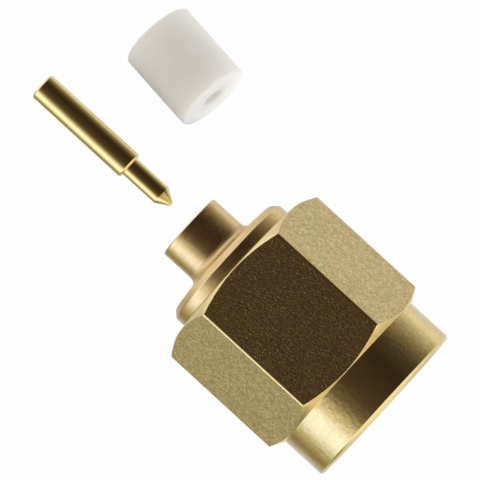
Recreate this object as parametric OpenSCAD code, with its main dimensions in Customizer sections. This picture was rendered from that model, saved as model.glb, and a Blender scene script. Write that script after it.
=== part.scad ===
// Straight coaxial plug with a hexagonal coupling nut, for soldering to semi-rigid cable.
// The dielectric insulator and the centre contact lie loose beside the plug, before fitting.
//
// Frame: +X runs along the plug's axis towards its mating end, +Z is up. The origin is on
// that axis at the reference plane, the front end face of the outer conductor. The plug lies
// on one flat of its hexagon, and the two loose pieces lie on the same level.

/* [Coupling nut] */
// Distance between two opposite flats of the hexagon
nut_across_flats = 7.94; // [7.8:0.02:8.4]
// Length of the hexagon, with both of its chamfers
nut_hex_len = 6.35; // [5.8:0.05:7.5]
// How far the round sleeve in front of the hexagon lies inside the flats
nut_sleeve_inset = 0.035; // [0.02:0.005:0.1]
// Length of the round sleeve
nut_sleeve_len = 2.1; // [1.8:0.02:2.6]
// Slope of the hexagon's corner chamfers, from a plane across the axis
nut_chamfer_angle = 30; // [20:1:40]
// How far the edge of the rear face, where its chamfer starts, lies inside the flats
nut_rear_inset = 0.06; // [0.04:0.01:0.3]
// Broken edge at the sleeve's front rim, and at the rear bore
nut_edge_break = 0.1; // [0.08:0.01:0.2]
// How far the nut's front face stands ahead of the reference plane
nut_lead = 2.5; // [2.3:0.1:2.8]

/* [Coupling thread] */
// Major diameter of the coupling thread, as bored in the nut
thread_major_d = 6.35; // [6.3:0.01:6.5]
// Length of the threaded bore, behind its lead-in
thread_len = 3.9; // [3.4:0.1:4.1]
// Axial depth of the lead-in at the mouth
thread_lead_in = 0.2; // [0.1:0.05:0.3]
// Radial depth of the lead-in at the mouth
thread_lead_in_rise = 0.35; // [0.2:0.05:0.4]
// Radial depth of the relief behind the thread
relief_depth = 0.12; // [0.05:0.01:0.2]

/* [Plug body] */
// Outer diameter of the outer conductor's barrel
barrel_d = 4.58; // [4.5:0.01:4.6]
// Length of the barrel ahead of the gasket
barrel_len = 1.95; // [1.9:0.05:2.1]
// Broken edge at the barrel's front end
barrel_edge = 0.1; // [0.05:0.01:0.15]
// Diameter of the neck behind the barrel that keeps the gasket on
neck_d = 4.2; // [4.1:0.02:4.24]
// Diameter of the shank that the nut turns on
shank_d = 5.5; // [5.4:0.02:5.6]
// Diameter of the flange behind the nut
flange_d = 6.46; // [6.2:0.02:6.8]
// Thickness of the flange where it meets the ferrule
flange_thk = 0.92; // [0.7:0.02:1.1]
// Slope of the flange's rear face, which leans forward towards its rim
flange_slope = 6; // [0:1:12]
// Radius on the flange's rear edge
flange_edge_r = 0.4; // [0.1:0.02:0.46]
// Outer diameter of the ferrule that the cable is soldered into
ferrule_d = 3.12; // [2.9:0.02:3.4]
// Length of the ferrule behind the flange
ferrule_len = 1.82; // [1.5:0.02:3]
// Radius of the fillet between ferrule and flange
ferrule_fillet_r = 0.16; // [0.08:0.01:0.3]
// Broken edges at the ferrule's open end
ferrule_edge = 0.08; // [0.04:0.01:0.12]
// Diameter of the bore for the cable's jacket
cable_bore_d = 2.26; // [2.22:0.01:2.4]
// Diameter of the hole for the cable's dielectric, through the cable stop
cable_stop_d = 1.7; // [1.68:0.01:1.8]
// Thickness of the lip that stops the cable and backs the insulator
cable_stop_thk = 0.6; // [0.4:0.05:0.8]

/* [Retaining ring] */
// Width of the split ring along the axis
ring_width = 0.6; // [0.4:0.05:0.7]
// Radial thickness of the split ring
ring_thk = 0.4; // [0.35:0.01:0.45]
// Width of the ring's split
ring_split = 1.2; // [0.8:0.1:2]
// How far the sprung ring reaches into the nut's groove
ring_engage = 0.2; // [0.15:0.01:0.22]
// Distance from the gasket's seat to the middle of the ring
ring_setback = 1.75; // [1.6:0.05:1.9]

/* [Sealing gasket] */
// Outer diameter of the gasket
gasket_d = 5.9; // [5.7:0.05:6.1]
// Thickness of the gasket
gasket_thk = 0.7; // [0.5:0.05:0.8]

/* [Insulator] */
// Outer diameter of the insulator
insulator_d = 3.5; // [3.3:0.02:3.8]
// Length of the insulator
insulator_len = 3.9; // [3.6:0.05:4.5]
// Broken edges of the insulator's ends
insulator_edge = 0.07; // [0.03:0.01:0.1]
// Thickness of the web at the insulator's mating end, which stops the contact's shoulder
insulator_web = 0.4; // [0.2:0.05:0.6]

/* [Contact pin] */
// Diameter of the contact inside the insulator
contact_d = 1.27; // [1.25:0.01:1.35]
// Length of the contact behind its shoulder
contact_len = 5.2; // [4.9:0.05:5.5]
// Diameter of the mating pin ahead of the shoulder
mating_pin_d = 0.92; // [0.9:0.01:0.94]
// Length of the mating pin, without its point
mating_pin_len = 1.86; // [1.6:0.02:2]
// Length of the conical point
point_len = 0.6; // [0.4:0.02:0.7]
// Diameter of the flat at the very tip
point_flat_d = 0.16; // [0.1:0.02:0.3]
// Broken edges at the shoulder and at the rear end
contact_edge = 0.07; // [0.03:0.01:0.1]
// Diameter of the solder cup for the cable's centre conductor
solder_cup_d = 0.56; // [0.54:0.01:0.6]
// Depth of the solder cup, to the start of its drill point
solder_cup_depth = 2; // [1.2:0.1:3]
// Countersink at the mouth of the solder cup
solder_cup_lead = 0.12; // [0.05:0.01:0.15]

/* [Fits] */
// Radial running clearance between nut and shank
running_clearance = 0.05; // [0.02:0.01:0.1]
// Gap between the nut's rear face and the flange
flange_gap = 0.05; // [0.03:0.01:0.1]
// Radial clearance of the insulator in its bore, and of the contact in the insulator
seat_clearance = 0.02; // [0.01:0.005:0.04]
// Clearance around the ring at the depths of its two grooves
ring_clearance = 0.06; // [0.04:0.01:0.08]
// Axial gap on each side of the ring in the plug body's groove
ring_side_gap = 0.05; // [0.03:0.01:0.1]
// Axial gap on each side of the ring in the nut's groove, which lets the nut float
nut_float = 0.15; // [0.1:0.01:0.2]
// Radial clearance between the gasket and its neck
gasket_clearance = 0.02; // [0.01:0.01:0.05]

/* [Loose pieces] */
// Distance behind the reference plane to the middle of the insulator
insulator_back = 14.5; // [13.5:0.1:17]
// Distance from the plug's axis sideways to the middle of the insulator
insulator_aside = 14; // [11:0.1:18]
// Turn of the insulator's axis, its near end swung away from the plug's axis
insulator_turn = 12; // [0:1:45]
// Distance behind the reference plane to the middle of the contact
contact_back = 14.2; // [13.8:0.1:16.5]
// Distance from the plug's axis sideways to the middle of the contact
contact_aside = 6.1; // [5:0.1:8]
// Turn of the contact's axis, its point swung away from the plug's axis
contact_turn = 0; // [0:1:15]

/* [Hidden] */
$fn = 96;

// A cut runs this far past the faces that it opens
cut_past = 1;
// Included angle of a drill's point
drill_angle = 118;

// Places along the axis, from the mating end to the cable end
nut_front_x = nut_lead;
sleeve_rear_x = nut_front_x - nut_sleeve_len;
nut_rear_x = sleeve_rear_x - nut_hex_len;
thread_front_x = nut_front_x - thread_lead_in;
thread_rear_x = thread_front_x - thread_len;
gasket_seat_x = -barrel_len - gasket_thk;
flange_front_x = nut_rear_x - flange_gap;
flange_rear_x = flange_front_x - flange_thk;
ferrule_rear_x = flange_rear_x - ferrule_len;
insulator_stop_x = -insulator_len;
cable_stop_x = insulator_stop_x - cable_stop_thk;
ring_x = gasket_seat_x - ring_setback;

// Radii that follow from a fit
nut_bore_r = shank_d / 2 + running_clearance;
ring_outer_r = nut_bore_r + ring_engage;
ring_inner_r = ring_outer_r - ring_thk;
nut_groove_r = ring_outer_r + ring_clearance;
body_groove_r = ring_inner_r - ring_engage - ring_clearance;
relief_r = thread_major_d / 2 + relief_depth;
insulator_bore_r = insulator_d / 2 + seat_clearance;
contact_hole_r = contact_d / 2 + seat_clearance;
web_hole_r = mating_pin_d / 2 + seat_clearance;

// The two grooves that share the ring
body_groove_half = ring_width / 2 + ring_side_gap;
nut_groove_half = ring_width / 2 + nut_float;
// The relief ends between the gasket's seat and the nut's groove
relief_rear_x = (gasket_seat_x + ring_x + nut_groove_half) / 2;

// Hexagon: corner radius, and the chamfer's run along the axis for each millimetre of radius
hex_corner_r = nut_across_flats / 2 / cos(30);
nut_sleeve_r = nut_across_flats / 2 - nut_sleeve_inset;
nut_rear_face_r = nut_across_flats / 2 - nut_rear_inset;
chamfer_slope = tan(nut_chamfer_angle);
front_chamfer_run = (hex_corner_r - nut_sleeve_r) * chamfer_slope;
rear_chamfer_run = (hex_corner_r - nut_rear_face_r) * chamfer_slope;

// Flange: the fillet's end on the sloping rear face, and the middle of the rounded edge
fillet_centre_r = ferrule_d / 2 + ferrule_fillet_r;
fillet_end_r = fillet_centre_r - ferrule_fillet_r * sin(flange_slope);
edge_centre_r = flange_d / 2 - flange_edge_r;
edge_start_r = edge_centre_r + flange_edge_r * sin(flange_slope);
edge_start_x = flange_rear_x + (edge_start_r - fillet_end_r) * tan(flange_slope);
edge_centre_x = edge_start_x + flange_edge_r * cos(flange_slope);
fillet_centre_x = flange_rear_x - ferrule_fillet_r * cos(flange_slope);

// Level that everything lies on
floor_z = -nut_across_flats / 2;

// Turns a shape that stands on Z so that it runs along +X.
module along_x() {
    rotate([0, 90, 0]) children();
}

// A solid of revolution about the X axis. Its outline is a list of [radius, x].
module turned(outline) {
    along_x() rotate_extrude() polygon(outline);
}

// Points on a quarter of a circle, from one angle to another, as [radius, x].
function arc(centre_r, centre_x, r, from, to, steps = 8) =
    [for (i = [0:steps]) let (a = from + (to - from) * i / steps)
        [centre_r + r * cos(a), centre_x + r * sin(a)]];

// Lays a piece of the given radius on the floor with the middle of its length at back, aside.
module lay_loose(back, aside, turn, r, middle_x) {
    translate([-back, aside, floor_z + r]) rotate([0, 0, turn]) translate([-middle_x, 0, 0]) children();
}

// Plug body: ferrule, flange, shank and barrel turned as one piece, bored from both ends.
module plug_body() {
    outside = concat(
        [[0, ferrule_rear_x],
         [ferrule_d / 2 - ferrule_edge, ferrule_rear_x],
         [ferrule_d / 2, ferrule_rear_x + ferrule_edge]],
        arc(fillet_centre_r, fillet_centre_x, ferrule_fillet_r, 180, 90 + flange_slope),
        arc(edge_centre_r, edge_centre_x, flange_edge_r, flange_slope - 90, 0),
        [[flange_d / 2, flange_front_x],
         [shank_d / 2, flange_front_x],
         [shank_d / 2, ring_x - body_groove_half],
         [body_groove_r, ring_x - body_groove_half],
         [body_groove_r, ring_x + body_groove_half],
         [shank_d / 2, ring_x + body_groove_half],
         [shank_d / 2, gasket_seat_x],
         [neck_d / 2, gasket_seat_x],
         [neck_d / 2, -barrel_len],
         [barrel_d / 2, -barrel_len],
         [barrel_d / 2, -barrel_edge],
         [barrel_d / 2 - barrel_edge, 0],
         [0, 0]]);
    bore = [
        [0, ferrule_rear_x - cut_past],
        [cable_bore_d / 2 + ferrule_edge, ferrule_rear_x - cut_past],
        [cable_bore_d / 2 + ferrule_edge, ferrule_rear_x],
        [cable_bore_d / 2, ferrule_rear_x + ferrule_edge],
        [cable_bore_d / 2, cable_stop_x],
        [cable_stop_d / 2, cable_stop_x],
        [cable_stop_d / 2, insulator_stop_x],
        [insulator_bore_r, insulator_stop_x],
        [insulator_bore_r, cut_past],
        [0, cut_past]];
    color("goldenrod") difference() {
        turned(outside);
        turned(bore);
    }
}

// Hexagon with its corners chamfered at both ends, and the round sleeve in front of it.
module nut_blank() {
    intersection() {
        translate([nut_rear_x, 0, 0]) rotate([90, 0, 90])
            linear_extrude(nut_hex_len) circle(hex_corner_r, $fn = 6);
        turned([
            [0, nut_rear_x],
            [nut_rear_face_r, nut_rear_x],
            [hex_corner_r, nut_rear_x + rear_chamfer_run],
            [hex_corner_r, sleeve_rear_x - front_chamfer_run],
            [nut_sleeve_r, sleeve_rear_x],
            [0, sleeve_rear_x]]);
    }
    turned([
        [0, sleeve_rear_x - nut_hex_len / 2],
        [nut_across_flats / 4, sleeve_rear_x - nut_hex_len / 2],
        [nut_across_flats / 4, sleeve_rear_x],
        [nut_sleeve_r, sleeve_rear_x],
        [nut_sleeve_r, nut_front_x - nut_edge_break],
        [nut_sleeve_r - nut_edge_break, nut_front_x],
        [0, nut_front_x]]);
}

// Coupling nut: bored for the thread, the relief behind it, the ring's groove and the shank.
module coupling_nut() {
    inside = [
        [0, nut_rear_x - cut_past],
        [nut_bore_r + nut_edge_break, nut_rear_x - cut_past],
        [nut_bore_r + nut_edge_break, nut_rear_x],
        [nut_bore_r, nut_rear_x + nut_edge_break],
        [nut_bore_r, ring_x - nut_groove_half],
        [nut_groove_r, ring_x - nut_groove_half],
        [nut_groove_r, ring_x + nut_groove_half],
        [nut_bore_r, ring_x + nut_groove_half],
        [nut_bore_r, relief_rear_x],
        [relief_r, relief_rear_x],
        [relief_r, thread_rear_x],
        [thread_major_d / 2, thread_rear_x],
        [thread_major_d / 2, thread_front_x],
        [thread_major_d / 2 + thread_lead_in_rise, nut_front_x],
        [thread_major_d / 2 + thread_lead_in_rise, nut_front_x + cut_past],
        [0, nut_front_x + cut_past]];
    color("darkgoldenrod") difference() {
        nut_blank();
        turned(inside);
    }
}

// Retaining ring: a split spring ring that sits in the grooves of body and nut.
module retaining_ring() {
    color("peru") difference() {
        turned([
            [ring_inner_r, ring_x - ring_width / 2],
            [ring_outer_r, ring_x - ring_width / 2],
            [ring_outer_r, ring_x + ring_width / 2],
            [ring_inner_r, ring_x + ring_width / 2]]);
        translate([ring_x - ring_width, -ring_split / 2, 0])
            cube([2 * ring_width, ring_split, ring_outer_r + cut_past]);
    }
}

// Sealing gasket: a flat rubber ring in the neck behind the barrel, against the shank's shoulder.
module sealing_gasket() {
    gasket_bore_r = neck_d / 2 + gasket_clearance;
    color("indianred") turned([
        [gasket_bore_r, gasket_seat_x],
        [gasket_d / 2, gasket_seat_x],
        [gasket_d / 2, gasket_seat_x + gasket_thk],
        [gasket_bore_r, gasket_seat_x + gasket_thk]]);
}

// Insulator: a dielectric bush that fills the plug's front bore. The contact slides in from the
// rear, and only its mating pin passes the web at the front.
module insulator() {
    r = insulator_d / 2;
    color("white") lay_loose(insulator_back, insulator_aside, -insulator_turn, r, insulator_len / 2)
        turned([
            [contact_hole_r + insulator_edge, 0],
            [r - insulator_edge, 0],
            [r, insulator_edge],
            [r, insulator_len - insulator_edge],
            [r - insulator_edge, insulator_len],
            [web_hole_r, insulator_len],
            [web_hole_r, insulator_len - insulator_web],
            [contact_hole_r, insulator_len - insulator_web],
            [contact_hole_r, insulator_edge]]);
}

// Contact pin: a stepped, pointed pin with a drilled solder cup in its rear end.
module contact_pin() {
    r = contact_d / 2;
    pin_r = mating_pin_d / 2;
    cup_r = solder_cup_d / 2;
    shoulder_x = contact_len;
    cone_x = shoulder_x + mating_pin_len;
    tip_x = cone_x + point_len;
    cup_point = cup_r / tan(drill_angle / 2);
    color("gold") lay_loose(contact_back, contact_aside, contact_turn, r, tip_x / 2)
        turned([
            [cup_r + solder_cup_lead, 0],
            [r - contact_edge, 0],
            [r, contact_edge],
            [r, shoulder_x - contact_edge],
            [r - contact_edge, shoulder_x],
            [pin_r, shoulder_x],
            [pin_r, cone_x],
            [point_flat_d / 2, tip_x],
            [0, tip_x],
            [0, solder_cup_depth + cup_point],
            [cup_r, solder_cup_depth],
            [cup_r, solder_cup_lead]]);
}

plug_body();
coupling_nut();
retaining_ring();
sealing_gasket();
insulator();
contact_pin();
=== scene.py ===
import math

import bmesh
import bpy
from mathutils import Matrix, Vector


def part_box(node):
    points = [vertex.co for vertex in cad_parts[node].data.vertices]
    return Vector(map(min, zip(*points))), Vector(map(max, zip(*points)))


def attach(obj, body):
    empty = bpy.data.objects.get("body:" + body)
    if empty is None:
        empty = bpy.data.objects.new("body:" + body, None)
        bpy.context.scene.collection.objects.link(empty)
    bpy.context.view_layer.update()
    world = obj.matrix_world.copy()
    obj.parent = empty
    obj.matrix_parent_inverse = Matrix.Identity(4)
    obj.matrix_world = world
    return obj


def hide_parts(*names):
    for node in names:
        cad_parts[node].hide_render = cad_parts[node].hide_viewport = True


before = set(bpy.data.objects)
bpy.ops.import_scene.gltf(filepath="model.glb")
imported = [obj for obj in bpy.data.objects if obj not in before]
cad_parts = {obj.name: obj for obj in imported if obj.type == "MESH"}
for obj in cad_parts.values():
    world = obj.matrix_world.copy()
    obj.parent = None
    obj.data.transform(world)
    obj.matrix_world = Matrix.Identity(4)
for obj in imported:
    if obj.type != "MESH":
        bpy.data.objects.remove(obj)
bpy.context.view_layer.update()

MM = 0.001
INCH = 25.4

# ---------------------------------------------------------------------------
# Driving dimensions, in millimetres and degrees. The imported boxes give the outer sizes.
# ---------------------------------------------------------------------------


def box_mm(node):
    """Lowest and highest corner of a CAD node, in millimetres."""
    low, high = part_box(node)
    return [v / MM for v in low], [v / MM for v in high]


nut_low, nut_high = box_mm("coupling_nut")
body_low, body_high = box_mm("plug_body")
ring_low, ring_high = box_mm("retaining_ring")
gasket_low, gasket_high = box_mm("sealing_gasket")
insulator_low, insulator_high = box_mm("insulator")
contact_low, contact_high = box_mm("contact_pin")

# Coupling nut
FLOOR_Z = nut_low[2]
NUT_REAR = nut_low[0]
NUT_FRONT = nut_high[0]
FLAT = nut_high[2]  # from the axis to a flat
SLEEVE_STEP = 0.035  # from a flat in to the sleeve
SLEEVE_R = FLAT - SLEEVE_STEP
SLEEVE_LEN = 2.1
SLEEVE_REAR = NUT_FRONT - SLEEVE_LEN
REAR_FACE_STEP = 0.06  # from a flat in to the rear face's edge
REAR_FACE_R = FLAT - REAR_FACE_STEP
CHAMFER_ANGLE = 30
CHAMFER_SLOPE = math.tan(math.radians(CHAMFER_ANGLE))
CORNER_ROUNDING = 0.14
EDGE_BREAK = 0.1
SHANK_BORE_R = 2.8
NUT_GROOVE_R = 3.06
NUT_GROOVE_HALF = 0.45

# Coupling thread
THREAD_R = 3.175
THREADS_PER_INCH = 36
THREAD_PITCH = INCH / THREADS_PER_INCH
THREAD_DEPTH = 0.38
THREAD_SETBACK = 0.2
THREAD_FRONT = NUT_FRONT - THREAD_SETBACK
THREAD_LEN = 3.9
THREAD_LEAD_RISE = 0.35
THREAD_ROOT = 0.44  # half the ridge's width at its root, in pitches
THREAD_CREST = 0.12  # half the ridge's width at its crest, in pitches
THREAD_SINK = 0.03  # how deep the ridge's root is set into the nut
THREAD_FADE = 0.25  # turns over which the ridge rises, and runs out
THREAD_FAINTEST = 0.02  # share of its depth that the ridge has at its ends
THREAD_CREST_ROUNDING = 0.012
RELIEF_DEPTH = 0.12
RELIEF_R = THREAD_R + RELIEF_DEPTH

# Plug body
FERRULE_REAR = body_low[0]
FLANGE_R = body_high[2]
FLANGE_GAP = 0.05  # to the nut's rear face
FLANGE_FRONT = NUT_REAR - FLANGE_GAP
FLANGE_LEN = 0.92
FLANGE_REAR = FLANGE_FRONT - FLANGE_LEN
FLANGE_TILT = 6
FLANGE_SLOPE = math.tan(math.radians(FLANGE_TILT))
FLANGE_BEVEL = 0.28
FLANGE_BEVEL_ROUNDING = 0.25
FLANGE_EDGE_ROUNDING = 0.15
FERRULE_R = 1.56
FERRULE_FILLET = 0.3
FERRULE_EDGE = 0.08
FERRULE_RIM = 0.04
SHANK_R = 2.75
NECK_R = 2.1
BARREL_R = 2.29
BARREL_LEN = 1.95
BARREL_EDGE = 0.1
CABLE_BORE_R = 1.13
CABLE_STOP_R = 0.85
CABLE_STOP_FRONT = -3.9
CABLE_STOP_REAR = -4.5
INSULATOR_BORE_R = 1.77
BODY_GROOVE_R = 2.34

# Retaining ring and gasket
RING_X = (ring_low[0] + ring_high[0]) / 2
RING_OUTER_R = 3.0
RING_INNER_R = 2.6
RING_HALF = (ring_high[0] - ring_low[0]) / 2
RING_SPLIT = 1.2
RING_STEPS = 140
GROOVE_PLAY = 0.05
BODY_GROOVE_HALF = RING_HALF + GROOVE_PLAY
GASKET_REAR = gasket_low[0]
GASKET_FRONT = gasket_high[0]
GASKET_R = gasket_high[2]
GASKET_PLAY = 0.02
GASKET_BORE_R = NECK_R + GASKET_PLAY
GASKET_ROUNDING = 0.12

# Insulator
INSULATOR_R = (insulator_high[2] - insulator_low[2]) / 2
INSULATOR_LEN = 3.9
INSULATOR_EDGE = 0.07
INSULATOR_WEB = 0.4
INSULATOR_HOLE_R = 0.655
WEB_HOLE_R = 0.48
INSULATOR_TURN = -12

# Contact
CONTACT_R = (contact_high[2] - contact_low[2]) / 2
CONTACT_LEN = 5.2
CONTACT_EDGE = 0.07
CONTACT_TURN = 0
PIN_R = 0.46
PIN_LEN = 1.86
POINT_LEN = 0.6
POINT_R = 0.08
POINT_ROUNDING = 0.04
CUP_R = 0.28
CUP_DEPTH = 2.0
CUP_LEAD = 0.12
CUP_ROUNDING = 0.012
DRILL_HALF_ANGLE = 59

# Roundings of turned edges
SHARP = 0
CRISP = 0.015
FINE = 0.02
SLIGHT = 0.03
SOFT = 0.05

# ---------------------------------------------------------------------------
# Camera: nearly square to a flat of the hexagon, the plug's axis falling to the right
# ---------------------------------------------------------------------------
VIEW_ELEVATION = 30
AXIS_FALL = 42.5
FRAME_WIDTH = 20.25
VIEW_FROM_FRONT = 3.1  # how far the view is turned towards the mating end
CAMERA_DISTANCE = 250
AIM_BACK = 6.76
AIM_UP = 1.03
SENSOR_WIDTH = 36
CLIP_NEAR = 0.01  # metres
CLIP_FAR = 10  # metres

elevation = math.radians(VIEW_ELEVATION)
towards_camera = Vector((0, -math.cos(elevation), math.sin(elevation)))
view_up = Vector((0, math.sin(elevation), math.cos(elevation)))
along = Vector((1, 0, 0))
fall = math.radians(AXIS_FALL)


def placed(name, data):
    """A new object for a mesh, camera or lamp, in the scene."""
    made = bpy.data.objects.new(name, data)
    bpy.context.scene.collection.objects.link(made)
    return made


def make_camera():
    data = bpy.data.cameras.new("camera")
    data.sensor_width = SENSOR_WIDTH
    data.lens = data.sensor_width * CAMERA_DISTANCE / FRAME_WIDTH
    data.clip_start = CLIP_NEAR
    data.clip_end = CLIP_FAR
    camera = placed("camera", data)
    aside = math.radians(VIEW_FROM_FRONT)
    back = towards_camera * math.cos(aside) + along * math.sin(aside)
    rolled_up = view_up * math.cos(fall) - along * math.sin(fall)
    right = rolled_up.cross(back).normalized()
    turn = Matrix((right, back.cross(right), back)).transposed().to_4x4()
    aim = -along * AIM_BACK + view_up * AIM_UP
    place = Matrix.Translation((aim + back * CAMERA_DISTANCE) * MM)
    camera.matrix_world = place @ turn
    bpy.context.scene.camera = camera


make_camera()

# ---------------------------------------------------------------------------
# Mesh helpers
# ---------------------------------------------------------------------------
MERGE_WITHIN = 1e-8  # metres
DEGENERATE_UNDER = 1e-9  # metres
LONGEST_CUT = 0.45  # share of an edge that a rounding may take


def arc(centre, start, end, steps):
    """Points about a centre, from one spoke to another."""
    sweep = start.angle_signed(end) if start.length > 0 else 0
    points = []
    for k in range(steps + 1):
        spoke = start.copy()
        spoke.rotate(Matrix.Rotation(-sweep * k / steps, 2))
        points.append((centre.x + spoke.x, centre.y + spoke.y))
    return points


def soften(outline, steps=4):
    """Rounds the corners of a closed outline. Its points are (radius, x, rounding, material)."""
    points = []
    count = len(outline)
    for i, (r, x, rounding, material) in enumerate(outline):
        here = Vector((r, x))
        before = Vector(outline[i - 1][:2]) - here
        after = Vector(outline[(i + 1) % count][:2]) - here
        if rounding <= 0:
            points.append((r, x, material))
            continue
        half = before.angle(after) / 2
        cut = min(rounding / math.tan(half), before.length * LONGEST_CUT, after.length * LONGEST_CUT)
        radius = cut * math.tan(half)
        bisector = (before.normalized() + after.normalized()).normalized()
        centre = here + bisector * (radius / math.sin(half))
        start = here + before.normalized() * cut - centre
        end = here + after.normalized() * cut - centre
        points += [(*point, material) for point in arc(centre, start, end, steps)]
    return points


def swept_faces(sections, closed):
    """Faces from each section to the next, capped where open, and each face's material."""
    rings = len(sections)
    size = len(sections[0])
    faces, slots = [], []
    for i in range(rings if closed else rings - 1):
        j = (i + 1) % rings
        for k in range(size):
            m = (k + 1) % size
            faces.append((i * size + k, i * size + m, j * size + m, j * size + k))
            slots.append(sections[i][k][2])
    if not closed:
        faces.append(tuple(range(size))[::-1])
        faces.append(tuple((rings - 1) * size + k for k in range(size)))
        slots += [sections[0][0][2]] * 2
    return faces, slots


def revolve(name, angles, outline_at, materials, closed=True):
    """A mesh swept round the X axis. outline_at(angle) gives the section as (radius, x, material)."""
    sections = [outline_at(a) for a in angles]
    verts = []
    for a, section in zip(angles, sections):
        for r, x, _ in section:
            verts.append((x * MM, r * math.sin(a) * MM, r * math.cos(a) * MM))
    faces, slots = swept_faces(sections, closed)
    mesh = bpy.data.meshes.new(name)
    mesh.from_pydata(verts, [], faces)
    for material in materials:
        mesh.materials.append(material)
    mesh.polygons.foreach_set("material_index", slots)
    mesh.validate()
    return finish_mesh(name, mesh)


def finish_mesh(name, mesh):
    """Merges doubled points, turns the faces outwards and shades them smooth."""
    work = bmesh.new()
    work.from_mesh(mesh)
    bmesh.ops.remove_doubles(work, verts=work.verts, dist=MERGE_WITHIN)
    bmesh.ops.dissolve_degenerate(work, edges=work.edges, dist=DEGENERATE_UNDER)
    bmesh.ops.recalc_face_normals(work, faces=work.faces)
    work.to_mesh(mesh)
    work.free()
    mesh.shade_smooth()
    piece = placed(name, mesh)
    weighted = piece.modifiers.new("even_normals", "WEIGHTED_NORMAL")
    weighted.weight = 100
    return piece


def round_angles(count):
    return [2 * math.pi * i / count for i in range(count)]


def lathe(name, outline, materials, count=192):
    """A turned piece about the X axis."""
    section = soften(outline)
    return revolve(name, round_angles(count), lambda angle: section, materials)


def lay_loose(piece, low, high, turn, middle_x):
    """Lays a turned piece on the floor, at the middle of its CAD box."""
    middle = [(a + b) / 2 * MM for a, b in zip(low, high)]
    move = Matrix.Translation(middle) @ Matrix.Rotation(math.radians(turn), 4, "Z")
    piece.matrix_world = move @ Matrix.Translation((-middle_x * MM, 0, 0))


# ---------------------------------------------------------------------------
# Materials. Sizes and depths are in millimetres.
# ---------------------------------------------------------------------------
NOISE_LOW = 0.3  # where the range of values that a noise mostly has begins
NOISE_HIGH = 0.7  # where that range ends

STREAK_WIDTH = 0.09  # of a turning mark
STREAK_LENGTH = 0.8  # along a turning mark
STREAK_DARK = 0.9  # colour left in a turning mark
STREAK_ROUGH = 1.4  # share of a plate's roughness where the marks are rough
STREAK_SMOOTH = 0.7  # and where they are smooth
TINT_SIZE = 0.9  # patches of slightly darker plate
TINT_DARK = 0.93  # colour left in them
SPECK_SIZE = 1.5  # share of the grain's size

GOLD = (0.93, 0.75, 0.40)
PINK_GOLD = (0.90, 0.68, 0.37)
# a lighter, yellower copy of GOLD: a painted highlight on the nut's cut edges, which are the same
# plating
PAINTED_HIGHLIGHT_GOLD = (0.97, 0.78, 0.38)
MIRROR_GOLD = (0.95, 0.77, 0.36)
COPPER = (0.78, 0.44, 0.24)

WHITE_DARK = (0.90, 0.895, 0.89)
WHITE_LIGHT = (0.94, 0.94, 0.935)
WHITE_CLOUD_SIZE = 1.2
WHITE_GRAIN_SIZE = 0.05
WHITE_GRAIN_DEPTH = 0.002
WHITE_GLOW_DEPTH = 2.2

RUBBER_DARK = (0.50, 0.075, 0.035)
RUBBER_LIGHT = (0.66, 0.13, 0.06)
RUBBER_CLOUD_SIZE = 0.4
RUBBER_GRAIN_DEPTH = 0.004


def shader(name):
    material = bpy.data.materials.new(name)
    material.use_nodes = True
    tree = material.node_tree
    return material, tree, tree.nodes["Principled BSDF"]


def add(tree, kind, **settings):
    """A node, with its inputs and its own properties set by name."""
    node = tree.nodes.new(kind)
    for key, value in settings.items():
        if key in node.inputs:
            node.inputs[key].default_value = value
        else:
            setattr(node, key, value)
    return node


def plain(surface, **values):
    """Sets sockets that are the same all over a surface. Their names have _ for a space."""
    for key, value in values.items():
        surface.inputs[key.replace("_", " ")].default_value = value


def noise(tree, place, size, detail):
    """A noise with features of the given size."""
    cloud = add(tree, "ShaderNodeTexNoise", Scale=1 / (size * MM), Detail=detail)
    tree.links.new(place.outputs["Object"], cloud.inputs["Vector"])
    return cloud.outputs["Fac"]


def two_tone(tree, factor, dark, light, low=NOISE_LOW, high=NOISE_HIGH):
    """A colour that runs from dark to light as the factor runs from low to high."""
    ramp = add(tree, "ShaderNodeValToRGB")
    first, last = ramp.color_ramp.elements
    first.position = low
    first.color = (*dark, 1)
    last.position = high
    last.color = (*light, 1)
    tree.links.new(factor, ramp.inputs["Fac"])
    return ramp.outputs["Color"]


def axial_place(tree, place):
    """The place with the distance from the axis added to X, so that faced surfaces vary as well."""
    link = tree.links.new
    split = add(tree, "ShaderNodeSeparateXYZ")
    link(place.outputs["Object"], split.inputs[0])
    across = add(tree, "ShaderNodeCombineXYZ")
    link(split.outputs["Y"], across.inputs["Y"])
    link(split.outputs["Z"], across.inputs["Z"])
    radius = add(tree, "ShaderNodeVectorMath", operation="LENGTH")
    link(across.outputs[0], radius.inputs[0])
    total = add(tree, "ShaderNodeMath", operation="ADD")
    link(split.outputs["X"], total.inputs[0])
    link(radius.outputs["Value"], total.inputs[1])
    joined = add(tree, "ShaderNodeCombineXYZ")
    link(total.outputs[0], joined.inputs["X"])
    link(split.outputs["Y"], joined.inputs["Y"])
    link(split.outputs["Z"], joined.inputs["Z"])
    return joined.outputs[0]


def turning_marks(tree, place):
    """Fine streaks that run round the axis, on turned and on faced surfaces alike."""
    stretch = add(tree, "ShaderNodeVectorMath", operation="MULTIPLY")
    stretch.inputs[1].default_value = (1 / STREAK_WIDTH, 1 / STREAK_LENGTH, 1 / STREAK_LENGTH)
    tree.links.new(axial_place(tree, place), stretch.inputs[0])
    streaks = add(tree, "ShaderNodeTexNoise", Scale=1 / MM, Detail=3.0, Roughness=0.65)
    tree.links.new(stretch.outputs[0], streaks.inputs["Vector"])
    return streaks.outputs["Fac"]


def shaded(tree, factor, low, high):
    """A noise's middle range, mapped to a range of values."""
    shade = add(tree, "ShaderNodeMapRange")
    shade.inputs["From Min"].default_value = NOISE_LOW
    shade.inputs["From Max"].default_value = NOISE_HIGH
    shade.inputs["To Min"].default_value = low
    shade.inputs["To Max"].default_value = high
    tree.links.new(factor, shade.inputs["Value"])
    return shade.outputs["Result"]


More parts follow.
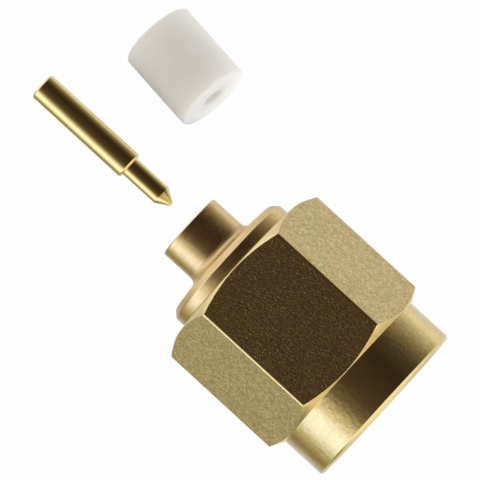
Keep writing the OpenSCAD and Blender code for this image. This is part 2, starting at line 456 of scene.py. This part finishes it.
def specked(tree, place, size, specks):
    """A shade for each small cell of the surface, down to 1 less specks."""
    cells = add(tree, "ShaderNodeTexVoronoi", Scale=1 / (size * SPECK_SIZE * MM))
    tree.links.new(place.outputs["Object"], cells.inputs["Vector"])
    shade = add(tree, "ShaderNodeMapRange")
    shade.inputs["To Min"].default_value = 1 - specks
    tree.links.new(cells.outputs["Color"], shade.inputs["Value"])
    return shade.outputs["Result"]


def dappled(tree, colour, shade):
    """A colour darkened by a shade."""
    dapple = add(tree, "ShaderNodeMix", data_type="RGBA", blend_type="MULTIPLY")
    dapple.inputs["Factor"].default_value = 1.0
    tree.links.new(colour, dapple.inputs["A"])
    tree.links.new(shade, dapple.inputs["B"])
    return dapple.outputs["Result"]


def bumped(tree, height, depth, below=None, strength=1.0):
    """Surface relief of the given depth, over the relief below it."""
    bump = add(tree, "ShaderNodeBump", Strength=strength, Distance=depth * MM)
    tree.links.new(height, bump.inputs["Height"])
    if below:
        tree.links.new(below, bump.inputs["Normal"])
    return bump.outputs["Normal"]


def gold(name, colour, roughness, lines=0.0, grain=0.0, grain_size=0.06, specks=0.0):
    """Gold plate: lines and grain are depths of turning marks and pits, specks their darkening."""
    material, tree, surface = shader(name)
    plain(surface, Metallic=1.0, Roughness=roughness)
    place = add(tree, "ShaderNodeTexCoord")
    tarnish = [c * TINT_DARK for c in colour]
    shown = two_tone(tree, noise(tree, place, TINT_SIZE, 4.0), tarnish, colour)
    normal = None
    if lines:
        marks = turning_marks(tree, place)
        shown = dappled(tree, shown, shaded(tree, marks, STREAK_DARK, 1.0))
        rough = shaded(tree, marks, roughness * STREAK_ROUGH, roughness * STREAK_SMOOTH)
        tree.links.new(rough, surface.inputs["Roughness"])
        normal = bumped(tree, marks, lines)
    if grain:
        normal = bumped(tree, noise(tree, place, grain_size, 2.0), grain, normal)
        shown = dappled(tree, shown, specked(tree, place, grain_size, specks))
    tree.links.new(shown, surface.inputs["Base Color"])
    if normal:
        tree.links.new(normal, surface.inputs["Normal"])
    return material


def waxy_white():
    """The insulator's fluoropolymer: white, a little translucent, with a faint grain."""
    material, tree, surface = shader("white_fluoropolymer")
    place = add(tree, "ShaderNodeTexCoord")
    cloud = noise(tree, place, WHITE_CLOUD_SIZE, 5.0)
    tree.links.new(two_tone(tree, cloud, WHITE_DARK, WHITE_LIGHT), surface.inputs["Base Color"])
    grain = noise(tree, place, WHITE_GRAIN_SIZE, 4.0)
    tree.links.new(bumped(tree, grain, WHITE_GRAIN_DEPTH, strength=0.6), surface.inputs["Normal"])
    plain(surface, Roughness=0.42, IOR=1.36, Subsurface_Weight=0.85)
    plain(surface, Subsurface_Radius=(1.0, 0.97, 0.9), Subsurface_Scale=WHITE_GLOW_DEPTH * MM)
    return material


def silicone_rubber():
    """The gasket's red rubber."""
    material, tree, surface = shader("silicone_rubber")
    place = add(tree, "ShaderNodeTexCoord")
    cloud = noise(tree, place, RUBBER_CLOUD_SIZE, 4.0)
    shown = two_tone(tree, cloud, RUBBER_DARK, RUBBER_LIGHT, low=0, high=1)
    tree.links.new(shown, surface.inputs["Base Color"])
    tree.links.new(bumped(tree, cloud, RUBBER_GRAIN_DEPTH, strength=0.5), surface.inputs["Normal"])
    plain(surface, Roughness=0.55)
    return material


blasted = gold("blasted_gold", GOLD, 0.25, grain=0.03, grain_size=0.072, specks=0.37)
turned_sleeve = gold("turned_gold", GOLD, 0.17, lines=0.016, grain=0.01, grain_size=0.2, specks=0.06)
# cut edges: the smoother bright-cut finish is real, and the lighter, yellower colour is a painted
# highlight
bright = gold("bright_cut_gold_painted_highlight", PAINTED_HIGHLIGHT_GOLD, 0.16, lines=0.003)
polished = gold("polished_gold", GOLD, 0.22, lines=0.004)
satin = gold("satin_gold", PINK_GOLD, 0.42, lines=0.004)
body_gold = gold("body_gold", PINK_GOLD, 0.26, lines=0.004, grain=0.006, grain_size=0.3, specks=0.05)
mirror = gold("mirror_gold", MIRROR_GOLD, 0.08, lines=0.001)
spring = gold("spring_copper", COPPER, 0.3, lines=0.001)
white = waxy_white()
rubber = silicone_rubber()

# ---------------------------------------------------------------------------
# Coupling nut
# ---------------------------------------------------------------------------
FLATS, SLEEVE, CUT, INSIDE = 0, 1, 2, 3  # the nut's materials
SIDE_TURN = math.pi / 3  # from flat to flat
CORNER_TURN = math.pi / 6  # from flat to corner
CORNER_INSET = FLAT - CORNER_ROUNDING
FLAT_HALF_TURN = math.atan2(CORNER_INSET * math.tan(CORNER_TURN), FLAT)
HAIR = 1e-6  # keeps a rounding error from counting as a corner


def off_flat(angle):
    """Angle between a direction and the middle of the nearest flat."""
    return abs((angle + CORNER_TURN) % SIDE_TURN - CORNER_TURN)


def hex_reach(angle):
    """Distance from the axis to the hexagon's outline, with its corners slightly rounded."""
    off = off_flat(angle)
    if off <= FLAT_HALF_TURN:
        return FLAT / math.cos(off)
    centre = CORNER_INSET / math.cos(CORNER_TURN)
    off_corner = CORNER_TURN - off
    return centre * math.cos(off_corner) + math.sqrt(
        CORNER_ROUNDING**2 - (centre * math.sin(off_corner)) ** 2
    )


def hex_angles(per_flat=28, per_corner=8):
    """Angles round the nut, close together where a corner turns."""
    angles = []
    for side in range(6):
        middle = side * SIDE_TURN
        angles += [middle - FLAT_HALF_TURN + 2 * FLAT_HALF_TURN * i / per_flat for i in range(per_flat)]
        span = SIDE_TURN - 2 * FLAT_HALF_TURN
        angles += [middle + FLAT_HALF_TURN + span * i / per_corner for i in range(per_corner)]
    return angles


def nut_outside(reach, face):
    """The nut's section from the rear face over the hexagon and the sleeve to the front."""
    rear_run = (reach - REAR_FACE_R) * CHAMFER_SLOPE
    front_run = (reach - SLEEVE_R) * CHAMFER_SLOPE
    return [
        (SHANK_BORE_R + EDGE_BREAK, NUT_REAR, FINE, CUT),
        (REAR_FACE_R, NUT_REAR, SLIGHT, CUT),
        (reach, NUT_REAR + rear_run, SLIGHT, face),
        (reach, SLEEVE_REAR - front_run, SLIGHT, CUT),
        (SLEEVE_R, SLEEVE_REAR, FINE, SLEEVE),
        (SLEEVE_R, NUT_FRONT - EDGE_BREAK, SLIGHT, CUT),
        (SLEEVE_R - EDGE_BREAK, NUT_FRONT, SLIGHT, CUT),
    ]


def nut_inside():
    """The nut's section from the thread's lead-in back to the rear bore."""
    thread_rear = THREAD_FRONT - THREAD_LEN
    relief_rear = (GASKET_REAR + RING_X + NUT_GROOVE_HALF) / 2
    return [
        (THREAD_R + THREAD_LEAD_RISE, NUT_FRONT, FINE, INSIDE),
        (THREAD_R, THREAD_FRONT, FINE, INSIDE),
        (THREAD_R, thread_rear, SHARP, INSIDE),
        (RELIEF_R, thread_rear, SHARP, INSIDE),
        (RELIEF_R, relief_rear, SHARP, INSIDE),
        (SHANK_BORE_R, relief_rear, FINE, INSIDE),
        (SHANK_BORE_R, RING_X + NUT_GROOVE_HALF, SHARP, INSIDE),
        (NUT_GROOVE_R, RING_X + NUT_GROOVE_HALF, SHARP, INSIDE),
        (NUT_GROOVE_R, RING_X - NUT_GROOVE_HALF, SHARP, INSIDE),
        (SHANK_BORE_R, RING_X - NUT_GROOVE_HALF, SHARP, INSIDE),
        (SHANK_BORE_R, NUT_REAR + EDGE_BREAK, FINE, INSIDE),
    ]


def nut_section(angle):
    reach = hex_reach(angle)
    at_corner = reach * math.cos(off_flat(angle)) < FLAT - HAIR
    return soften(nut_outside(reach, CUT if at_corner else FLATS) + nut_inside(), steps=3)


def make_nut():
    materials = [blasted, turned_sleeve, bright, polished]
    nut = revolve("coupling_nut_shell", hex_angles(), nut_section, materials)
    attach(nut, "nut")
    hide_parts("coupling_nut")


def thread_points(count, per_turn):
    """Four points of the ridge's section at each step round the bore."""
    root_half = THREAD_PITCH * THREAD_ROOT
    crest_half = THREAD_PITCH * THREAD_CREST
    start_x = THREAD_FRONT - THREAD_PITCH / 2
    verts = []
    for i in range(count + 1):
        angle = 2 * math.pi * i / per_turn
        x = start_x - THREAD_PITCH * i / per_turn
        fade = min(1, i / (per_turn * THREAD_FADE), (count - i) / (per_turn * THREAD_FADE))
        crest = THREAD_R - THREAD_DEPTH * max(fade, THREAD_FAINTEST)
        section = [
            (THREAD_R + THREAD_SINK, x + root_half),
            (crest, x + crest_half),
            (crest, x - crest_half),
            (THREAD_R + THREAD_SINK, x - root_half),
        ]
        for r, at in section:
            verts.append((at * MM, r * math.sin(angle) * MM, r * math.cos(angle) * MM))
    return verts


def thread_faces(count):
    faces = []
    for i in range(count):
        for k in range(4):
            m = (k + 1) % 4
            faces.append((4 * i + k, 4 * i + m, 4 * i + 4 + m, 4 * i + 4 + k))
    faces.append((0, 3, 2, 1))
    faces.append((4 * count, 4 * count + 1, 4 * count + 2, 4 * count + 3))
    return faces


def make_thread(per_turn=96):
    """The thread's ridge, a helical band with a flat crest that starts and ends at no height."""
    turns = (THREAD_LEN - THREAD_PITCH) / THREAD_PITCH
    count = int(turns * per_turn)
    mesh = bpy.data.meshes.new("thread_ridge")
    mesh.from_pydata(thread_points(count, per_turn), [], thread_faces(count))
    mesh.materials.append(polished)
    ridge = finish_mesh("thread_ridge", mesh)
    edges = ridge.modifiers.new("crest_rounding", "BEVEL")
    edges.width = THREAD_CREST_ROUNDING * MM
    edges.segments = 2
    edges.limit_method = "ANGLE"
    ridge.modifiers.move(1, 0)
    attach(ridge, "nut")


# ---------------------------------------------------------------------------
# Plug body, ring and gasket
# ---------------------------------------------------------------------------
TURNED, MATT = 0, 1  # the body's materials
ONLY = 0  # the material of a piece that has one


def body_outside():
    """The body's section from the ferrule's rear rim over the flange and shank to the barrel."""
    bevel_r = FLANGE_R - FLANGE_BEVEL
    bevel_x = FLANGE_REAR + (bevel_r - FERRULE_R) * FLANGE_SLOPE
    return [
        (CABLE_BORE_R + FERRULE_EDGE, FERRULE_REAR, CRISP, TURNED),
        (FERRULE_R - FERRULE_RIM, FERRULE_REAR, FINE, TURNED),
        (FERRULE_R, FERRULE_REAR + FERRULE_RIM, FINE, TURNED),
        (FERRULE_R, FLANGE_REAR, FERRULE_FILLET, MATT),
        (bevel_r, bevel_x, FLANGE_BEVEL_ROUNDING, MATT),
        (FLANGE_R, bevel_x + FLANGE_BEVEL, FLANGE_EDGE_ROUNDING, TURNED),
        (FLANGE_R, FLANGE_FRONT, SLIGHT, TURNED),
        (SHANK_R, FLANGE_FRONT, SHARP, TURNED),
        (SHANK_R, RING_X - BODY_GROOVE_HALF, SHARP, TURNED),
        (BODY_GROOVE_R, RING_X - BODY_GROOVE_HALF, SHARP, TURNED),
        (BODY_GROOVE_R, RING_X + BODY_GROOVE_HALF, SHARP, TURNED),
        (SHANK_R, RING_X + BODY_GROOVE_HALF, SHARP, TURNED),
        (SHANK_R, GASKET_REAR, SLIGHT, TURNED),
        (NECK_R, GASKET_REAR, SHARP, TURNED),
        (NECK_R, -BARREL_LEN, SHARP, TURNED),
        (BARREL_R, -BARREL_LEN, FINE, TURNED),
        (BARREL_R, -BARREL_EDGE, FINE, TURNED),
        (BARREL_R - BARREL_EDGE, 0, FINE, TURNED),
    ]


def body_inside():
    """The body's section from the barrel's mouth back through the bores."""
    return [
        (INSULATOR_BORE_R, 0, CRISP, TURNED),
        (INSULATOR_BORE_R, CABLE_STOP_FRONT, SHARP, TURNED),
        (CABLE_STOP_R, CABLE_STOP_FRONT, CRISP, TURNED),
        (CABLE_STOP_R, CABLE_STOP_REAR, CRISP, TURNED),
        (CABLE_BORE_R, CABLE_STOP_REAR, SHARP, TURNED),
        (CABLE_BORE_R, FERRULE_REAR + FERRULE_EDGE, FINE, TURNED),
    ]


def make_body():
    body = lathe("plug_body_turning", body_outside() + body_inside(), [body_gold, satin])
    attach(body, "plug")
    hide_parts("plug_body")


def make_ring():
    section = soften([
        (RING_INNER_R, RING_X - RING_HALF, SLIGHT, ONLY),
        (RING_OUTER_R, RING_X - RING_HALF, SOFT, ONLY),
        (RING_OUTER_R, RING_X + RING_HALF, SOFT, ONLY),
        (RING_INNER_R, RING_X + RING_HALF, SLIGHT, ONLY),
    ])
    half_gap = math.asin(RING_SPLIT / 2 / RING_OUTER_R)
    span = 2 * math.pi - 2 * half_gap
    angles = [half_gap + span * i / RING_STEPS for i in range(RING_STEPS + 1)]
    ring = revolve("retaining_ring_spring", angles, lambda a: section, [spring], closed=False)
    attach(ring, "plug")
    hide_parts("retaining_ring")


def make_gasket():
    outline = [
        (GASKET_BORE_R, GASKET_REAR, SOFT, ONLY),
        (GASKET_R, GASKET_REAR, GASKET_ROUNDING, ONLY),
        (GASKET_R, GASKET_FRONT, GASKET_ROUNDING, ONLY),
        (GASKET_BORE_R, GASKET_FRONT, SOFT, ONLY),
    ]
    gasket = lathe("sealing_gasket_ring", outline, [rubber])
    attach(gasket, "plug")
    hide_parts("sealing_gasket")


# ---------------------------------------------------------------------------
# Loose insulator and contact
# ---------------------------------------------------------------------------


def make_insulator():
    edge = INSULATOR_EDGE
    outline = [
        (INSULATOR_HOLE_R + edge, 0, SLIGHT, ONLY),
        (INSULATOR_R - edge, 0, SOFT, ONLY),
        (INSULATOR_R, edge, SOFT, ONLY),
        (INSULATOR_R, INSULATOR_LEN - edge, SOFT, ONLY),
        (INSULATOR_R - edge, INSULATOR_LEN, SOFT, ONLY),
        (WEB_HOLE_R, INSULATOR_LEN, SLIGHT, ONLY),
        (WEB_HOLE_R, INSULATOR_LEN - INSULATOR_WEB, FINE, ONLY),
        (INSULATOR_HOLE_R, INSULATOR_LEN - INSULATOR_WEB, SHARP, ONLY),
        (INSULATOR_HOLE_R, edge, SLIGHT, ONLY),
    ]
    bush = lathe("insulator_bush", outline, [white])
    lay_loose(bush, insulator_low, insulator_high, INSULATOR_TURN, INSULATOR_LEN / 2)
    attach(bush, "plug")
    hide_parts("insulator")


def make_contact():
    cone = CONTACT_LEN + PIN_LEN
    tip = cone + POINT_LEN
    edge = CONTACT_EDGE
    cup_end = CUP_DEPTH + CUP_R / math.tan(math.radians(DRILL_HALF_ANGLE))
    outline = [
        (CUP_R + CUP_LEAD, 0, CUP_ROUNDING, ONLY),
        (CONTACT_R - edge, 0, FINE, ONLY),
        (CONTACT_R, edge, SLIGHT, ONLY),
        (CONTACT_R, CONTACT_LEN - edge, SLIGHT, ONLY),
        (CONTACT_R - edge, CONTACT_LEN, FINE, ONLY),
        (PIN_R, CONTACT_LEN, SLIGHT, ONLY),
        (PIN_R, cone, SOFT, ONLY),
        (POINT_R, tip, POINT_ROUNDING, ONLY),
        (0, tip, SHARP, ONLY),
        (0, cup_end, SHARP, ONLY),
        (CUP_R, CUP_DEPTH, SHARP, ONLY),
        (CUP_R, CUP_LEAD, FINE, ONLY),
    ]
    contact = lathe("contact_pin_turning", outline, [mirror], count=128)
    lay_loose(contact, contact_low, contact_high, CONTACT_TURN, tip / 2)
    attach(contact, "plug")
    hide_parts("contact_pin")


make_nut()
make_thread()
make_body()
make_ring()
make_gasket()
make_insulator()
make_contact()

# ---------------------------------------------------------------------------
# Floor, light and view. Turns are in degrees, from the view's line and downwards.
# ---------------------------------------------------------------------------
BACKDROP = 0.985
FLOOR_RADIUS = 60
FLOOR_CENTRE = (-6, 3)
FLOOR_GAP = 0.02  # below the pieces that lie on it
FLOOR_COLOUR = (0.94, 0.95, 0.97, 1)

PLAIN_TONE = (1, 1, 1)
WHITE_TONE = (1, 1.08, 1.3)
PALE_TONE = (1, 1, 0.92)
WARM_TONE = (1, 0.98, 0.88)
CREAM_TONE = (1, 0.93, 0.72)
YELLOW_TONE = (1, 0.95, 0.62)
STRAW_TONE = (1, 0.87, 0.34)
AMBER_TONE = (1, 0.84, 0.54)
BROWN_TONE = (1, 0.68, 0.42)
TENT = (  # turn, level, tone
    (-180, 0.86, PLAIN_TONE),
    (-150, 0.72, PALE_TONE),
    (-126, 0.92, WARM_TONE),
    (-108, 0.54, CREAM_TONE),
    (-88, 0.24, AMBER_TONE),
    (-66, 0.07, AMBER_TONE),
    (-40, 0.036, BROWN_TONE),
    (-10, 0.056, BROWN_TONE),
    (14, 0.083, BROWN_TONE),
    (34, 0.19, AMBER_TONE),
    (54, 0.85, CREAM_TONE),
    (68, 1.3, WHITE_TONE),
    (88, 1.24, WHITE_TONE),
    (108, 0.58, YELLOW_TONE),
    (130, 0.24, STRAW_TONE),
    (150, 0.54, PALE_TONE),
    (180, 0.86, PLAIN_TONE),
)
TENT_ENDS = (1.06, 1.04, 0.98, 1)
TENT_ENDS_FROM = 0.68  # share of a direction that runs along the axis, where the ends begin
TENT_ENDS_FULL = 0.92  # and where the tent's sides are gone

LAMP_SPREAD = 70
LAMPS = (  # name, direction it stands in, strength, colour
    ("front_lamp", towards_camera, 1.0, (1, 0.92, 0.82)),
    ("side_lamp", (along + view_up * 0.3).normalized(), 1.5, (0.97, 0.98, 1)),
    ("top_lamp", (view_up - along * 0.3 - towards_camera * 0.2).normalized(), 0.8, (0.93, 0.96, 1)),
)


def split_view(tree, lit, seen, output):
    """Gives an output one shader for the camera's rays and another for all other rays."""
    path = add(tree, "ShaderNodeLightPath")
    mix = add(tree, "ShaderNodeMixShader")
    tree.links.new(path.outputs["Is Camera Ray"], mix.inputs["Fac"])
    tree.links.new(lit.outputs[0], mix.inputs[1])
    tree.links.new(seen.outputs[0], mix.inputs[2])
    tree.links.new(mix.outputs[0], tree.nodes[output].inputs["Surface"])


def make_floor():
    """A pale floor that shows plain to the camera and still bounces light."""
    x, y = FLOOR_CENTRE
    centre = (x * MM, y * MM, (FLOOR_Z - FLOOR_GAP) * MM)
    bpy.ops.mesh.primitive_circle_add(
        vertices=96, radius=FLOOR_RADIUS * MM, fill_type="NGON", location=centre
    )
    floor = bpy.context.object
    floor.name = "floor"
    material, tree, surface = shader("pale_floor")
    plain(surface, Base_Color=FLOOR_COLOUR, Roughness=0.9, Specular_IOR_Level=0.0)
    seen = add(tree, "ShaderNodeEmission", Color=(BACKDROP, BACKDROP, BACKDROP, 1), Strength=1.0)
    split_view(tree, surface, seen, "Material Output")
    floor.data.materials.append(material)
    floor.visible_glossy = False


def facing(tree, place, direction):
    """How far a ray's direction runs along the given one."""
    dot = add(tree, "ShaderNodeVectorMath", operation="DOT_PRODUCT")
    dot.inputs[1].default_value = direction
    tree.links.new(place.outputs["Generated"], dot.inputs[0])
    return dot.outputs["Value"]


def tent_sides(tree, place):
    """The tent's colour round the plug's axis."""
    link = tree.links.new
    turn = add(tree, "ShaderNodeMath", operation="ARCTAN2")
    link(facing(tree, place, -view_up), turn.inputs[0])
    link(facing(tree, place, towards_camera), turn.inputs[1])
    share = add(tree, "ShaderNodeMapRange")
    share.inputs["From Min"].default_value = -math.pi
    share.inputs["From Max"].default_value = math.pi
    link(turn.outputs[0], share.inputs["Value"])
    ramp = add(tree, "ShaderNodeValToRGB")
    link(share.outputs[0], ramp.inputs["Fac"])
    bands = ramp.color_ramp.elements
    while len(bands) < len(TENT):
        bands.new(0.5)
    for band, (degrees, level, tone) in zip(bands, TENT):
        band.position = (degrees + 180) / 360
        band.color = (*[level * part for part in tone], 1)
    return ramp.outputs["Color"]


def end_share(tree, place):
    """How much of the tent's ends a ray meets, against its sides."""
    across = add(tree, "ShaderNodeMath", operation="ABSOLUTE")
    tree.links.new(facing(tree, place, along), across.inputs[0])
    share = add(tree, "ShaderNodeMapRange", interpolation_type="SMOOTHSTEP")
    share.inputs["From Min"].default_value = TENT_ENDS_FROM
    share.inputs["From Max"].default_value = TENT_ENDS_FULL
    tree.links.new(across.outputs[0], share.inputs["Value"])
    return share.outputs[0]


def make_world():
    """A light tent that is open, and so dark, on the side that the plug's flat faces."""
    world = bpy.data.worlds.new("tent")
    bpy.context.scene.world = world
    world.use_nodes = True
    tree = world.node_tree
    seen = tree.nodes["Background"]
    seen.inputs["Color"].default_value = (BACKDROP, BACKDROP, BACKDROP, 1)
    place = add(tree, "ShaderNodeTexCoord")
    joined = add(tree, "ShaderNodeMix", data_type="RGBA")
    tree.links.new(end_share(tree, place), joined.inputs["Factor"])
    tree.links.new(tent_sides(tree, place), joined.inputs["A"])
    joined.inputs["B"].default_value = TENT_ENDS
    tent = add(tree, "ShaderNodeBackground", Strength=1.0)
    tree.links.new(joined.outputs["Result"], tent.inputs["Color"])
    split_view(tree, tent, seen, "World Output")


def make_lamp(name, direction, strength, colour):
    """A broad lamp that lights the white and the rubber but leaves no glint on the gold."""
    data = bpy.data.lights.new(name, "SUN")
    data.energy = strength
    data.angle = math.radians(LAMP_SPREAD)
    data.color = colour
    lamp = placed(name, data)
    lamp.rotation_mode = "QUATERNION"
    lamp.rotation_quaternion = direction.to_track_quat("Z", "Y")
    lamp.visible_glossy = False


make_floor()
make_world()
for lamp in LAMPS:
    make_lamp(*lamp)
bpy.context.scene.view_settings.view_transform = "Standard"
